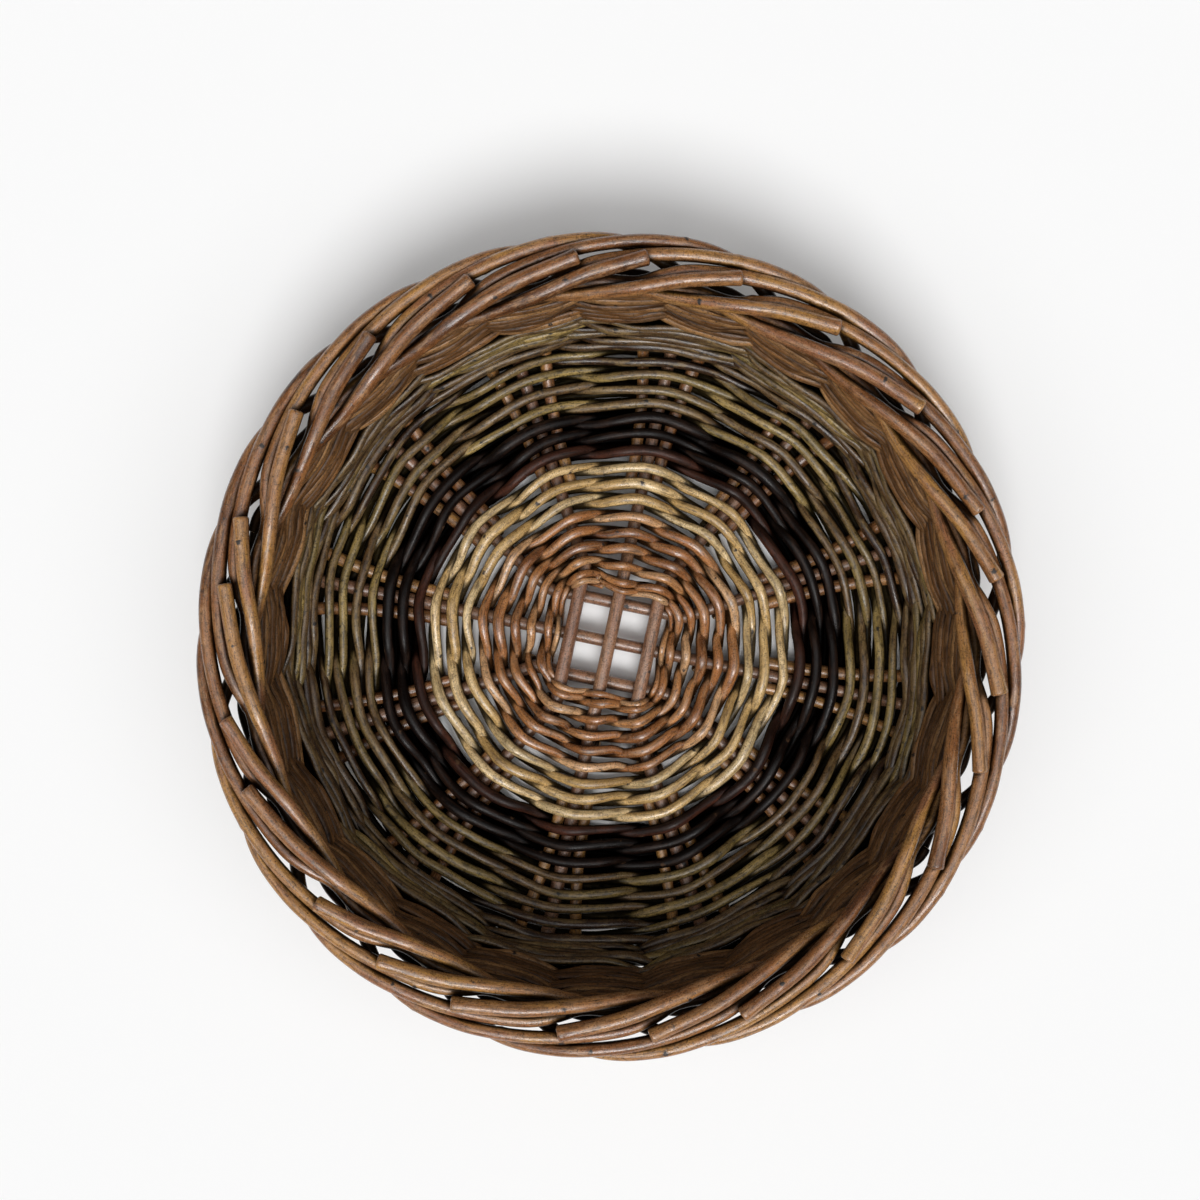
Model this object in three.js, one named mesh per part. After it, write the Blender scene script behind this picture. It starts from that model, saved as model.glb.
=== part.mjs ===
// A shallow round willow basket. Six sticks cross in an open grid, two stakes stand beside each of their
// twelve ends and roll over into the border, and woven rows hold sticks and stakes together.
// Millimetres, +Z up, origin on the floor under the middle of the basket.
import * as THREE from 'three';

// Driving dimensions
const STICK_DIAMETER = 6.8;
const STAKE_DIAMETER = 6.6;
const BASE_WEAVER_DIAMETER = 4.4;
const UPPER_WEAVER_DIAMETER = 3.6;
const CLEARANCE = 0.35; // left between rods that lie against each other
const BORDER_CLEARANCE = 0.4; // the same where border rods cross at a slant
const ROW_GAP = 0.3; // left between one woven row and the next, beyond two weavers
const GRID_SPACING = 22; // between neighbouring sticks in the open grid
const BASE_HOLLOW = 6; // how far the middle of the base is lifted clear of the floor
const LOWER_BEND_RADIUS = 65; // where the base turns gently upwards
const UPPER_BEND_RADIUS = 25; // where the wall becomes steep

// Angles, in degrees
const GRID_TURN = -12; // of the whole grid about the upright axis
const LOWER_BEND_SLOPE = 35; // of the wall against the floor after the gentle bend
const WALL_SLOPE = 78; // of the straight upper wall against the floor

// Counts
const GRID_STICKS = 3; // laid each way
const STICK_ENDS = 4 * GRID_STICKS;
const STAKES = 2 * STICK_ENDS;
const ROD_SIDES = 5;
const ROW_SIDES = 4;
const BROWN_ROWS = 5;
const STRAW_ROWS = 3;
const DARK_ROWS = 3;
const OLIVE_ROWS = 7;
const UPPER_ROWS = 5;
const STAKE_START_ROW = 1.5; // straw rows passed before the stakes begin
const STICK_END_ROW = 4; // olive rows passed before the sticks end
const TURNING_STATIONS = 5; // where a stick turns outwards and comes level
const BASE_STATIONS = 4; // along a stick's level run
const BEND_STATIONS = 5; // along a stick's upturned end
const TAIL_STATIONS = 9; // from the start of a stake to the steep wall
const RISE_STATIONS = 3; // from there to the top of the weave

// Shares of one size by another
const FIRST_ROW_STICKS = 1.8; // stick widths from the outer sticks of the grid to the innermost row
const ROW_FILL = 0.7; // of the width of two weavers side by side, because they twist together
const ROW_SQUARENESS = 0.6; // how strongly the grid shows in the innermost rows
const LIFT_RUN = 0.45; // of a stick's straight run that it then needs to come level with the others
const STRAIGHT_SHARE = 0.6; // of a stick's straight run that is sure to be straight

// The way a border rod takes from the top of the wall to its cut end. Each line gives stake spaces passed
// on the way round, then rods out from the wall, then rods up from the lowest crossing.
const BORDER_ROUTE = [
  [0.0, 0.0, -0.8],
  [0.03, -0.03, -0.25],
  [0.12, -0.25, 0.2],
  [0.3, -0.6, 0.56],
  [0.6, -0.88, 0.88],
  [1.0, -0.98, 1.05],
  [1.25, -0.25, 1.6],
  [1.5, 0.4, 2.02],
  [2.0, 1.15, 2.22],
  [2.5, 1.82, 2.25],
  [3.0, 2.42, 2.12],
  [3.3, 2.7, 1.82],
  [3.6, 2.84, 1.3],
  [3.85, 2.62, 0.75],
  [4.1, 1.95, 0.25],
  [4.4, 0.65, -0.1],
  [4.75, -0.7, -0.1],
  [5.0, -1.32, 0.05],
  [5.25, -1.72, 0.42],
  [5.5, -1.92, 0.95],
  [5.75, -1.88, 1.6],
  [6.0, -1.62, 2.12],
  [6.5, -0.82, 2.38],
  [7.1, 0.2, 2.42],
];

// Angles in radians
const TURN = Math.PI * 2;
const upright = new THREE.Vector3(0, 0, 1);
const gridTurn = THREE.MathUtils.degToRad(GRID_TURN);
const lowerSlope = THREE.MathUtils.degToRad(LOWER_BEND_SLOPE);
const wallSlope = THREE.MathUtils.degToRad(WALL_SLOPE);
const endAngle = TURN / STICK_ENDS;
const stakeAngle = TURN / STAKES;

// Sizes that follow. A position on the basket is a distance from the middle, measured along the sticks.
const basePitch = 2 * BASE_WEAVER_DIAMETER + ROW_GAP;
const upperPitch = 2 * UPPER_WEAVER_DIAMETER + ROW_GAP;
const outerColumn = (GRID_STICKS - 1) / 2;
const outerStick = outerColumn * GRID_SPACING;
const firstRow = outerStick + FIRST_ROW_STICKS * STICK_DIAMETER;
const brownStart = firstRow - basePitch / 2;
const strawStart = brownStart + BROWN_ROWS * basePitch;
const darkStart = strawStart + STRAW_ROWS * basePitch;
const oliveStart = darkStart + DARK_ROWS * basePitch;
const upperStart = oliveStart + OLIVE_ROWS * basePitch;
const weaveEnd = upperStart + UPPER_ROWS * upperPitch;
const stakeStart = strawStart + STAKE_START_ROW * basePitch;
const stickEnd = oliveStart + STICK_END_ROW * basePitch;
const lowerBendEnd = oliveStart + LOWER_BEND_RADIUS * lowerSlope;
const upperBendEnd = lowerBendEnd + UPPER_BEND_RADIUS * (wallSlope - lowerSlope);
const thickestSpoke = Math.max(STICK_DIAMETER, STAKE_DIAMETER);
const baseWeave = (thickestSpoke + BASE_WEAVER_DIAMETER) / 2 + CLEARANCE;
const upperWeave = (STAKE_DIAMETER + UPPER_WEAVER_DIAMETER) / 2 + CLEARANCE;
const footHeight = baseWeave + BASE_WEAVER_DIAMETER / 2;
const crossingLift = (STICK_DIAMETER + CLEARANCE) / 2;
const besideStick = (STICK_DIAMETER + STAKE_DIAMETER) / 2 + CLEARANCE;
const borderPitch = STAKE_DIAMETER + BORDER_CLEARANCE;

// Colours of the bark, as seen in the photograph
const brown = new THREE.MeshStandardMaterial({ color: 0x8a5f41, roughness: 0.5, metalness: 0 });
const straw = new THREE.MeshStandardMaterial({ color: 0xb39a62, roughness: 0.5, metalness: 0 });
const dark = new THREE.MeshStandardMaterial({ color: 0x2a1a1a, roughness: 0.45, metalness: 0 });
const olive = new THREE.MeshStandardMaterial({ color: 0x6b6142, roughness: 0.55, metalness: 0 });
const stakeBrown = new THREE.MeshStandardMaterial({ color: 0x7d5a42, roughness: 0.45, metalness: 0 });
const stickBrown = new THREE.MeshStandardMaterial({ color: 0x77574a, roughness: 0.45, metalness: 0 });

// Side view of the basket: radius, height and slope at a distance along the sticks
function profile(along) {
  if (along <= oliveStart) {
    const hollow = along < darkStart ? 1 + Math.cos((Math.PI * along) / darkStart) : 0;
    return { radius: along, height: footHeight + (BASE_HOLLOW * hollow) / 2, slope: 0 };
  }
  const lower = Math.min(along - oliveStart, lowerBendEnd - oliveStart) / LOWER_BEND_RADIUS;
  const upper = THREE.MathUtils.clamp(along - lowerBendEnd, 0, upperBendEnd - lowerBendEnd) / UPPER_BEND_RADIUS;
  const straight = Math.max(along - upperBendEnd, 0);
  const slope = lower + upper;
  const upperRun = UPPER_BEND_RADIUS * (Math.sin(slope) - Math.sin(lower));
  const upperRise = UPPER_BEND_RADIUS * (Math.cos(lower) - Math.cos(slope));
  return {
    radius: oliveStart + LOWER_BEND_RADIUS * Math.sin(lower) + upperRun + straight * Math.cos(slope),
    height: footHeight + LOWER_BEND_RADIUS * (1 - Math.cos(lower)) + upperRise + straight * Math.sin(slope),
    slope,
  };
}

// A point on the basket, lifted off the middle of its wall towards the inside
function onBasket(along, angle, lift) {
  const { radius, height, slope } = profile(along);
  const r = radius - lift * Math.sin(slope);
  return new THREE.Vector3(r * Math.cos(angle), r * Math.sin(angle), height + lift * Math.cos(slope));
}

// A curve whose stations are the points given, so that they can be close where a rod bends
class RodPath extends THREE.CatmullRomCurve3 {
  getPointAt(u, target) {
    return this.getPoint(u, target);
  }

  getTangentAt(u, target) {
    return this.getTangent(u, target);
  }
}

function rod(name, points, diameter, material) {
  const outline = [];
  for (let i = 0; i < ROD_SIDES; i++) {
    const angle = (TURN * i) / ROD_SIDES;
    outline.push(new THREE.Vector2(Math.cos(angle), Math.sin(angle)).multiplyScalar(diameter / 2));
  }
  const geometry = new THREE.ExtrudeGeometry(new THREE.Shape(outline), {
    steps: points.length - 1,
    extrudePath: new RodPath(points),
    bevelEnabled: false,
  });
  const mesh = new THREE.Mesh(geometry, material);
  mesh.name = name;
  return mesh;
}

// Where a stick of the grid stops running straight. Columns are counted from the middle of the grid.
function straightEnd(column) {
  if (column === 0) {
    return GRID_SPACING / Math.tan(endAngle);
  }
  return (column * GRID_SPACING) / Math.sin(column * endAngle);
}

// How far a stick lies above or below the middle of the base, to clear the sticks laid the other way
function stickLift(along, column) {
  const share = along / straightEnd(column);
  return crossingLift * (1 - THREE.MathUtils.smoothstep(share, 1, 1 + LIFT_RUN));
}

// Evenly spread distances from one place along the sticks up to another
function stations(from, to, count) {
  return Array.from({ length: count }, (_, i) => THREE.MathUtils.lerp(from, to, i / (count - 1)));
}

// One stick of the grid. It runs straight across the grid, then its ends turn outwards like spokes.
function baseStick(name, direction, column, level) {
  const turning = straightEnd(column);
  const along = [
    ...stations(turning, (1 + LIFT_RUN) * turning, TURNING_STATIONS),
    ...stations(strawStart, darkStart, BASE_STATIONS),
    ...stations(oliveStart, stickEnd, BEND_STATIONS),
  ];
  const outward = along.map((s) => onBasket(s, column * endAngle, level * stickLift(s, column)));
  const back = outward.map((p) => new THREE.Vector3(-p.x, p.y, p.z)).reverse();
  const reach = outward[0].x * STRAIGHT_SHARE;
  const across = [-reach, 0, reach].map((x) => {
    const y = column * GRID_SPACING;
    return new THREE.Vector3(x, y, profile(Math.hypot(x, y)).height + level * crossingLift);
  });
  const points = [...back, ...across, ...outward];
  points.forEach((p) => p.applyAxisAngle(upright, direction));
  return rod(name, points, STICK_DIAMETER, stickBrown);
}

// One stake: a tail beside a stick on the base, the rise up the wall, then its run round the border
function stake(name, index) {
  const stickAngle = gridTurn + (Math.floor(index / 2) - outerColumn) * endAngle;
  const side = index % 2 === 0 ? -1 : 1;
  const rimAngle = stickAngle + (side * stakeAngle) / 2;
  const spread = (profile(upperStart).radius * stakeAngle) / 2;
  const tail = stations(stakeStart, upperStart, TAIL_STATIONS).map((along) => {
    const share = (along - stakeStart) / (upperStart - stakeStart);
    const aside = THREE.MathUtils.lerp(besideStick, spread, share * share);
    return onBasket(along, stickAngle + (side * aside) / profile(along).radius, 0);
  });
  const rise = stations(upperStart, weaveEnd, RISE_STATIONS).slice(1);
  const wall = rise.map((along) => onBasket(along, rimAngle, 0));
  const top = profile(weaveEnd + borderPitch);
  const border = BORDER_ROUTE.map(([spaces, out, up]) => {
    const radius = top.radius + out * borderPitch;
    const angle = rimAngle - spaces * stakeAngle;
    return new THREE.Vector3(radius * Math.cos(angle), radius * Math.sin(angle), top.height + up * borderPitch);
  });
  return rod(name, [...tail, ...wall, ...border], STAKE_DIAMETER, stakeBrown);
}

// One woven row: a closed ring that passes inside one spoke and outside the next. The spokes are groups
// of rods low down, where the ring keeps level across each group, and single stakes high on the wall.
function wovenRow(name, along, row, weave, material) {
  const { spokes, stepsPerSpoke, firstAngle, weaverDiameter, reach } = weave;
  const steps = spokes * stepsPerSpoke;
  const { radius, slope } = profile(along);
  const flatDepth = radius * (1 - Math.cos(Math.PI / steps)) * Math.sin(slope) ** 2;
  const gridShare = (outerStick / along) ** 2 - (outerStick / strawStart) ** 2;
  const squareness = ROW_SQUARENESS * Math.max(gridShare, 0);
  const geometry = new THREE.TorusGeometry(1, 0.5, ROW_SIDES, steps);
  const position = geometry.attributes.position;
  const uv = geometry.attributes.uv;
  for (let i = 0; i < position.count; i++) {
    const step = Math.round(uv.getX(i) * steps);
    const spoke = Math.floor(step / stepsPerSpoke) % spokes;
    const angle = firstAngle + ((step - (stepsPerSpoke - 1) / 2) / steps) * TURN;
    const corner = (uv.getY(i) + 1 / (2 * ROW_SIDES)) * TURN;
    const acrossRow = Math.sign(Math.cos(corner)) * ROW_FILL * weaverDiameter;
    const throughRow = (Math.sign(Math.sin(corner)) * weaverDiameter) / 2;
    const weaving = (spoke + row) % 2 === 0 ? reach : -reach - flatDepth;
    const bulge = (squareness * (1 - Math.cos(4 * (angle - gridTurn)))) / 2;
    const place = along * (1 + bulge) + acrossRow;
    const level = Math.floor(spoke / GRID_STICKS) % 2 === 0 ? -1 : 1;
    const spokeLift = level * stickLift(place, (spoke % GRID_STICKS) - outerColumn);
    const p = onBasket(place, angle, spokeLift + weaving + throughRow);
    position.setXYZ(i, p.x, p.y, p.z);
  }
  const mesh = new THREE.Mesh(geometry, material);
  mesh.name = name;
  return mesh;
}

const baseWeaving = {
  spokes: STICK_ENDS,
  stepsPerSpoke: 3,
  firstAngle: gridTurn - outerColumn * endAngle,
  weaverDiameter: BASE_WEAVER_DIAMETER,
  reach: baseWeave,
  pitch: basePitch,
};

const upperWeaving = {
  spokes: STAKES,
  stepsPerSpoke: 2,
  firstAngle: gridTurn - outerColumn * endAngle - stakeAngle / 2,
  weaverDiameter: UPPER_WEAVER_DIAMETER,
  reach: upperWeave,
  pitch: upperPitch,
};

// The woven bands from the middle outwards
const bands = [
  ['brown', BROWN_ROWS, baseWeaving, brown],
  ['straw', STRAW_ROWS, baseWeaving, straw],
  ['dark', DARK_ROWS, baseWeaving, dark],
  ['olive', OLIVE_ROWS, baseWeaving, olive],
  ['upper', UPPER_ROWS, upperWeaving, brown],
];

const basket = new THREE.Group();
basket.name = 'potato_basket';
for (let i = 0; i < GRID_STICKS; i++) {
  basket.add(baseStick(`lower_stick_${i + 1}`, gridTurn, i - outerColumn, -1));
  basket.add(baseStick(`upper_stick_${i + 1}`, gridTurn + TURN / 4, i - outerColumn, 1));
}
for (let i = 0; i < STAKES; i++) {
  basket.add(stake(`stake_${i + 1}`, i));
}
let rowsWoven = 0;
let along = brownStart;
for (const [name, rows, weave, material] of bands) {
  for (let i = 0; i < rows; i++) {
    basket.add(wovenRow(`${name}_row_${i + 1}`, along + weave.pitch / 2, rowsWoven, weave, material));
    along += weave.pitch;
    rowsWoven += 1;
  }
}

export default basket;
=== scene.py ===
# Looks of a shallow round willow basket. Every rod is modelled by itself, close to the routes of the solids:
# sticks and stakes one by one, and each woven row as rods twisted round one another.
# Metres, +Z up, origin on the floor under the middle of the basket.
import math

import bpy
import numpy as np
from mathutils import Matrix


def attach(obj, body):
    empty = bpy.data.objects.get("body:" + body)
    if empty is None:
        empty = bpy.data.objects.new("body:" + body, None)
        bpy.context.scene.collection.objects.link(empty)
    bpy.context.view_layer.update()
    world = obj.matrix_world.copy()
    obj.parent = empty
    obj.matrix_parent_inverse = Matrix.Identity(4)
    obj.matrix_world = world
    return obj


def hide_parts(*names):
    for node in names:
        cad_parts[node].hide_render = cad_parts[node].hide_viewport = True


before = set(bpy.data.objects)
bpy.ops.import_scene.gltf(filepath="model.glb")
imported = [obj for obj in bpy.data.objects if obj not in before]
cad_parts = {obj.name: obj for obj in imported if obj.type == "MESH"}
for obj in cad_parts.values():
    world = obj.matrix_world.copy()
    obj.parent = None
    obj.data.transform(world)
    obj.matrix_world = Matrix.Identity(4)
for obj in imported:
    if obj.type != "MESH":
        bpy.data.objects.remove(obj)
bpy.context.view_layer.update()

MM = 0.001
TURN = 2 * math.pi

# Sizes of the basket, as in its solids
STICK_DIAMETER = 6.8 * MM
STAKE_DIAMETER = 6.6 * MM
BASE_WEAVER_DIAMETER = 4.4 * MM
UPPER_WEAVER_DIAMETER = 3.6 * MM
CLEARANCE = 0.35 * MM
BORDER_CLEARANCE = 0.4 * MM
ROW_GAP = 0.3 * MM
GRID_SPACING = 22 * MM
BASE_HOLLOW = 6 * MM
LOWER_BEND_RADIUS = 65 * MM
UPPER_BEND_RADIUS = 25 * MM
GRID_TURN = math.radians(-12)
LOWER_BEND_SLOPE = math.radians(35)
WALL_SLOPE = math.radians(78)
GRID_STICKS = 3
STICK_ENDS = 4 * GRID_STICKS
STAKES = 2 * STICK_ENDS
STAKE_START_ROW = 1.5  # straw rows passed before the stakes begin
STICK_END_ROW = 4  # olive rows passed before the sticks end
FIRST_ROW_STICKS = 1.8  # from the outer stick of the grid to the first row, in sticks
ROW_SQUARENESS = 0.6  # how much the rows next to the grid follow its square shape
LIFT_RUN = 0.45  # over which a stick comes level, of the distance to its turning
STRAIGHT_SHARE = 0.6  # of the distance to its turning over which a stick is dead straight

# Rows in each band, from the middle outwards
BROWN_ROWS = 5
STRAW_ROWS = 3
DARK_ROWS = 3
OLIVE_ROWS = 7
UPPER_ROWS = 5

# The way a border rod takes from the top of the wall to its cut end: stake spaces passed on the way round,
# rods out from the wall, rods up from the lowest crossing. The outer rods lie lower than in the solids, and
# the cut ends cross the rim more steeply.
BORDER_ROUTE = [
    (0.0, 0.0, -0.8),
    (0.03, -0.03, -0.25),
    (0.12, -0.25, 0.2),
    (0.3, -0.6, 0.56),
    (0.6, -0.88, 0.88),
    (1.0, -0.98, 1.05),
    (1.25, -0.25, 1.45),
    (1.5, 0.5, 1.6),
    (2.0, 1.3, 1.55),
    (2.5, 1.95, 1.55),
    (3.0, 2.5, 1.42),
    (3.3, 2.75, 1.08),
    (3.6, 2.84, 0.72),
    (3.85, 2.62, 0.42),
    (4.1, 1.95, 0.25),
    (4.4, 0.65, -0.1),
    (4.75, -0.7, -0.1),
    (5.0, -1.32, 0.05),
    (5.25, -1.72, 0.42),
    (5.5, -1.92, 0.95),
    (5.75, -1.88, 1.6),
    (6.0, -1.62, 2.12),
    (6.5, -0.5, 2.38),
    (7.1, 0.95, 2.55),
]
BORDER_PACKING = 0.84  # how closely the rods are pressed outwards together, of their places in the route
PACKING_RUN = 0.6  # spaces passed until they are fully pressed
BUTT_STARTS = 6  # spaces passed where the cut end begins
BUTT_LENGTHS = (0.85, 1.25)  # least and greatest length of the cut end, of that in the route
LOOSE_STARTS = 1.2  # spaces passed where the rods begin to stray
LOOSE_RUN = 0.8  # further spaces until they stray fully
BORDER_WAVE = 4.0  # spaces from one stray to the next
STRAY_OUT = 0.12  # in rods
STRAY_UP = 0.06

# Sizes that follow. Where something starts or ends is measured along the sticks from the middle.
end_angle = TURN / STICK_ENDS
stake_angle = TURN / STAKES
base_pitch = 2 * BASE_WEAVER_DIAMETER + ROW_GAP
upper_pitch = 2 * UPPER_WEAVER_DIAMETER + ROW_GAP
outer_column = (GRID_STICKS - 1) / 2
outer_stick = outer_column * GRID_SPACING
first_row = outer_stick + FIRST_ROW_STICKS * STICK_DIAMETER
brown_start = first_row - base_pitch / 2
straw_start = brown_start + BROWN_ROWS * base_pitch
dark_start = straw_start + STRAW_ROWS * base_pitch
olive_start = dark_start + DARK_ROWS * base_pitch
upper_start = olive_start + OLIVE_ROWS * base_pitch
weave_end = upper_start + UPPER_ROWS * upper_pitch
stake_start = straw_start + STAKE_START_ROW * base_pitch
stick_end = olive_start + STICK_END_ROW * base_pitch
tail_length = upper_start - stake_start
lower_bend_end = olive_start + LOWER_BEND_RADIUS * LOWER_BEND_SLOPE
upper_bend_end = lower_bend_end + UPPER_BEND_RADIUS * (WALL_SLOPE - LOWER_BEND_SLOPE)
foot_height = (STICK_DIAMETER + BASE_WEAVER_DIAMETER) / 2 + CLEARANCE + BASE_WEAVER_DIAMETER / 2
crossing_lift = (STICK_DIAMETER + CLEARANCE) / 2
beside_stick = (STICK_DIAMETER + STAKE_DIAMETER) / 2 + CLEARANCE
border_pitch = STAKE_DIAMETER + BORDER_CLEARANCE

# How fine the rods are meshed
STATION_STEP = 1.6 * MM
ROW_STEP = 0.8 * MM  # between the places where a woven row is worked out
ROD_SIDES = 14
WEAVER_SIDES = 12
SPLINE_SAMPLES = 12
TURNING_STATIONS = 5  # where a stick turns outwards and comes level
BASE_STATIONS = 4  # along a stick's level run
BEND_STATIONS = 5  # along a stick's upturned end
ACROSS_STATIONS = 3  # along a stick's straight middle
TAIL_STATIONS = 9  # from the start of a stake to the upper rows
WALL_STATIONS = 3  # from there to the top of the weave

# Growth of every rod
END_ROUNDING = ((0.6 * MM, 0.95), (1.05 * MM, 0.82), (1.3 * MM, 0.6))  # beyond the end, radius left there
OVALITY = 0.035
BUD_LENGTH = 1.7 * MM
BUD_WIDTH = 0.55  # radians round the rod
BUD_SIZES = (0.5, 1.2)
FIRST_BUD = (0.2, 1)  # least and greatest distance from the start, of the usual spacing
BUD_GAPS = (0.6, 1.4)  # the same from one bud to the next
BUD_TURN = 2.4  # radians from one bud to the next round the rod
BUD_TURN_SPREAD = 0.3
SCAR_LENGTH = 1.6 * MM
SCAR_WIDTH = 0.5
DRIFT_STRETCHES = (1, 1.7, 2.9)  # of the wave length, for the waves that make up a random drift
GRAIN_RANGE = 5000  # millimetres of grain, in which each rod starts at a random place
SOME_WAY = (0.3, 0.2, 1)  # a slanting direction, to find ways across another one with
STICK_SEED = 41
STAKE_SEED = 141
WEAVE_SEED = 241

# Growth of sticks and stakes: thickness at the middle or start, its change to the end, how far and over what
# length it swells, tints and buds
STICK_THICKNESS = 1.05
STICK_TAPER = 0.07
STICK_SWELL = 0.03
STICK_WAVE = 60 * MM
STICK_TINTS = (0.2, 0.8)
STICK_BUD_SPACING = 38 * MM
STICK_BUD_HEIGHT = 0.45 * MM
STAKE_THICKNESS = 0.97
STAKE_TAPER = 0.14
STAKE_SPREAD = (1.0, 1.1)  # thinnest and thickest stake
STAKE_SWELL = 0.025
STAKE_WAVE = 110 * MM
STAKE_TINTS = (0.1, 0.95)
STAKE_BUD_SPACING = 34 * MM
STAKE_BUD_HEIGHT = 0.5 * MM
BUTT_FLARE = 0.09
BUTT_FLARE_RUN = 5 * MM

# Growth of the weavers
WEAVER_BUTT = 1.1  # thickness at the start
WEAVER_TAPER = 0.16
WEAVER_SPREAD = (0.94, 1.06)
WEAVER_SWELL = 0.05
SWELL_WAVE = 80 * MM
FIRST_ROWS_THINNER = 0.16  # the first row is woven with the tips of the rods
THIN_ROWS = 2  # the rows over which they become thicker
WALL_SWELL = 0.1  # the rods of the wall are so much thicker than those of the base

# Weave
UPPER_SPREAD = 1.2 * MM  # further apart than in the solids, so that the rows reach the border
WALL_PRESS = 1.2 * MM  # how deep the upper rods press into the stakes
WALL_PAIR_THINNER = 0.08  # a second, thinner pair above each row on the steep wall closes it
UNDER_ROD_THINNER = 0.1  # a rod outside the spokes closes the gap next to a dark or low olive row
CORNER_ROUNDING = 0.12  # of the space between two spokes, where a rod bends round a spoke
CORNER_REACH = 0.9  # where a square row meets the outer sticks, of the way out to its corners
BEND_SHARPNESS = 0.96  # 1 would give a rod sharp bends over the spokes, and 0 even curves
STAGGER = 0.05  # how far the rod inside a spoke lies out from its row, and the other in, of its radius
FLOOR_ROOM = 1.15  # least height of a rod's middle above the floor, of its radius
STRAND_OVERLAP = 5 * MM  # how far each end of a rod runs past the place where they meet
END_RUN = 4  # overlaps over which the last end moves aside
END_ASIDE = 1.6  # how far it moves, of its radius
UNEVEN_WAVE = 45 * MM  # along the row, from one uneven swing to the next
LOOSE_WAVE = 55 * MM  # the same for rods that stray sideways
LIFT_WAVE = 50 * MM  # and up and down
LIFT_SHARE = 0.4  # how far they stray up and down, of that sideways

# Waves that whole rows stray in: how many in a round, how far along the sticks they turn by a radian, start
STRAY_WAVES = ((2, 18 * MM, 0.4), (3, -25 * MM, 2.1), (5, 33 * MM, 4))

# A thinner pair of rods that ties the grid, inside the innermost row
TIE_DIAMETER = 3.8 * MM
TIE_ALONG = 29 * MM
TIE_SQUARENESS = 0.28
TIE_DRIFT = 0.4 * MM
TIE_LOOSE = 0.3 * MM

# The map that rods are unrolled onto, in shares of its width or height
STRIP_MARGIN = 0.03  # left free at each side of a strip, of its width
CAP_ROOM = 0.05  # kept below the strips for the cut ends
MAP_TOP = 0.99
STRIP_FILL = 0.97  # length of a strip, of the height above that room
CAP_HEIGHT = 0.45  # of the middle of a cut end, in its room
CAP_SIZE = 0.42  # its radius, of its room
CAP_FLATNESS = 0.9

# Painted shade between the rods, which darkens the bark's colour where other rods would keep light off: cells
# that the space is divided into, how far out of a rod's surface to look from, how far apart to look, how
# often, and how steeply the ways to look lean away from straight out
CELL = 2 * MM
LOOK_START = 2 * MM
LOOK_STEP = 2 * MM
LOOKS = 6
LOOK_WAYS = 6
LOOK_LEAN = math.radians(50)
CORE_SHARES = (0.25, 0.6, 0.95)  # of a rod's radius, where its inside is marked as filled
DARK_BELOW = 0.08  # openness below which the shade painted on a rod is at its darkest
HALF_OPEN = 0.24
HALF_LIGHT = 0.35
BRIGHT_ABOVE = 0.45  # openness above which no shade is painted on it
TAIL_OPEN = 0.36  # least openness of the tails of the stakes, so less shade is painted on them and they show between the low rows
TAIL_CLEAR = 0.7  # of the tail's length, after which that least openness fades and the painted shade on them can deepen

# Stage
FLOOR_REACH = 8  # from the middle of the floor to each side
FLOOR_TONE = 0.93
AMBIENT = 0.09  # strength of the light from all round
CAMERA_LENS = 50.5
CAMERA_SENSOR = 36
CAMERA_PLACE = (-0.0052, 0.0232, 0.946)


# Side view of the basket: radius, height and slope at distances along the sticks
def profile(along):
    along = np.asarray(along, float)
    hollow = np.where(along < dark_start, 1 + np.cos(np.pi * along / dark_start), 0)
    lower = np.clip(along - olive_start, 0, lower_bend_end - olive_start) / LOWER_BEND_RADIUS
    upper = np.clip(along - lower_bend_end, 0, upper_bend_end - lower_bend_end) / UPPER_BEND_RADIUS
    straight = np.maximum(along - upper_bend_end, 0)
    slope = lower + upper
    upper_run = UPPER_BEND_RADIUS * (np.sin(slope) - np.sin(lower))
    upper_rise = UPPER_BEND_RADIUS * (np.cos(lower) - np.cos(slope))
    lower_run = LOWER_BEND_RADIUS * np.sin(lower)
    lower_rise = LOWER_BEND_RADIUS * (1 - np.cos(lower))
    radius = np.minimum(along, olive_start) + lower_run + upper_run + straight * np.cos(slope)
    height = foot_height + BASE_HOLLOW * hollow / 2 + lower_rise + upper_rise + straight * np.sin(slope)
    return radius, height, slope


# Points on the basket, lifted off the middle of its wall towards the inside
def on_basket(along, angle, lift):
    radius, height, slope = profile(along)
    r = radius - lift * np.sin(slope)
    return np.stack([r * np.cos(angle), r * np.sin(angle), height + lift * np.cos(slope)], axis=-1)


# The same curve with its stations one step apart
def respaced(curve, step):
    length = np.concatenate([[0], np.cumsum(np.linalg.norm(np.diff(curve, axis=0), axis=1))])
    stations = np.linspace(0, length[-1], max(round(length[-1] / step), 2) + 1)
    return np.stack([np.interp(stations, length, curve[:, k]) for k in range(3)], axis=-1)


# A smooth curve through points that may be unevenly spaced
def smooth_route(points, step):
    points = np.asarray(points)
    span = np.sqrt(np.linalg.norm(np.diff(points, axis=0), axis=1))[:, None]
    pace = np.diff(points, axis=0) / span
    middle = (pace[:-1] * span[1:] + pace[1:] * span[:-1]) / (span[:-1] + span[1:])
    tangent = np.vstack([pace[:1], middle, pace[-1:]])
    t = np.linspace(0, 1, SPLINE_SAMPLES, endpoint=False)[None, :, None]
    leave = (tangent[:-1] * span)[:, None]
    arrive = (tangent[1:] * span)[:, None]
    curve = (2 * t**3 - 3 * t**2 + 1) * points[:-1, None] + (t**3 - 2 * t**2 + t) * leave
    curve = curve + (3 * t**2 - 2 * t**3) * points[1:, None] + (t**3 - t**2) * arrive
    return respaced(np.vstack([curve.reshape(-1, 3), points[-1:]]), step)


def smoothstep(x):
    x = np.clip(x, 0, 1)
    return x * x * (3 - 2 * x)


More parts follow.
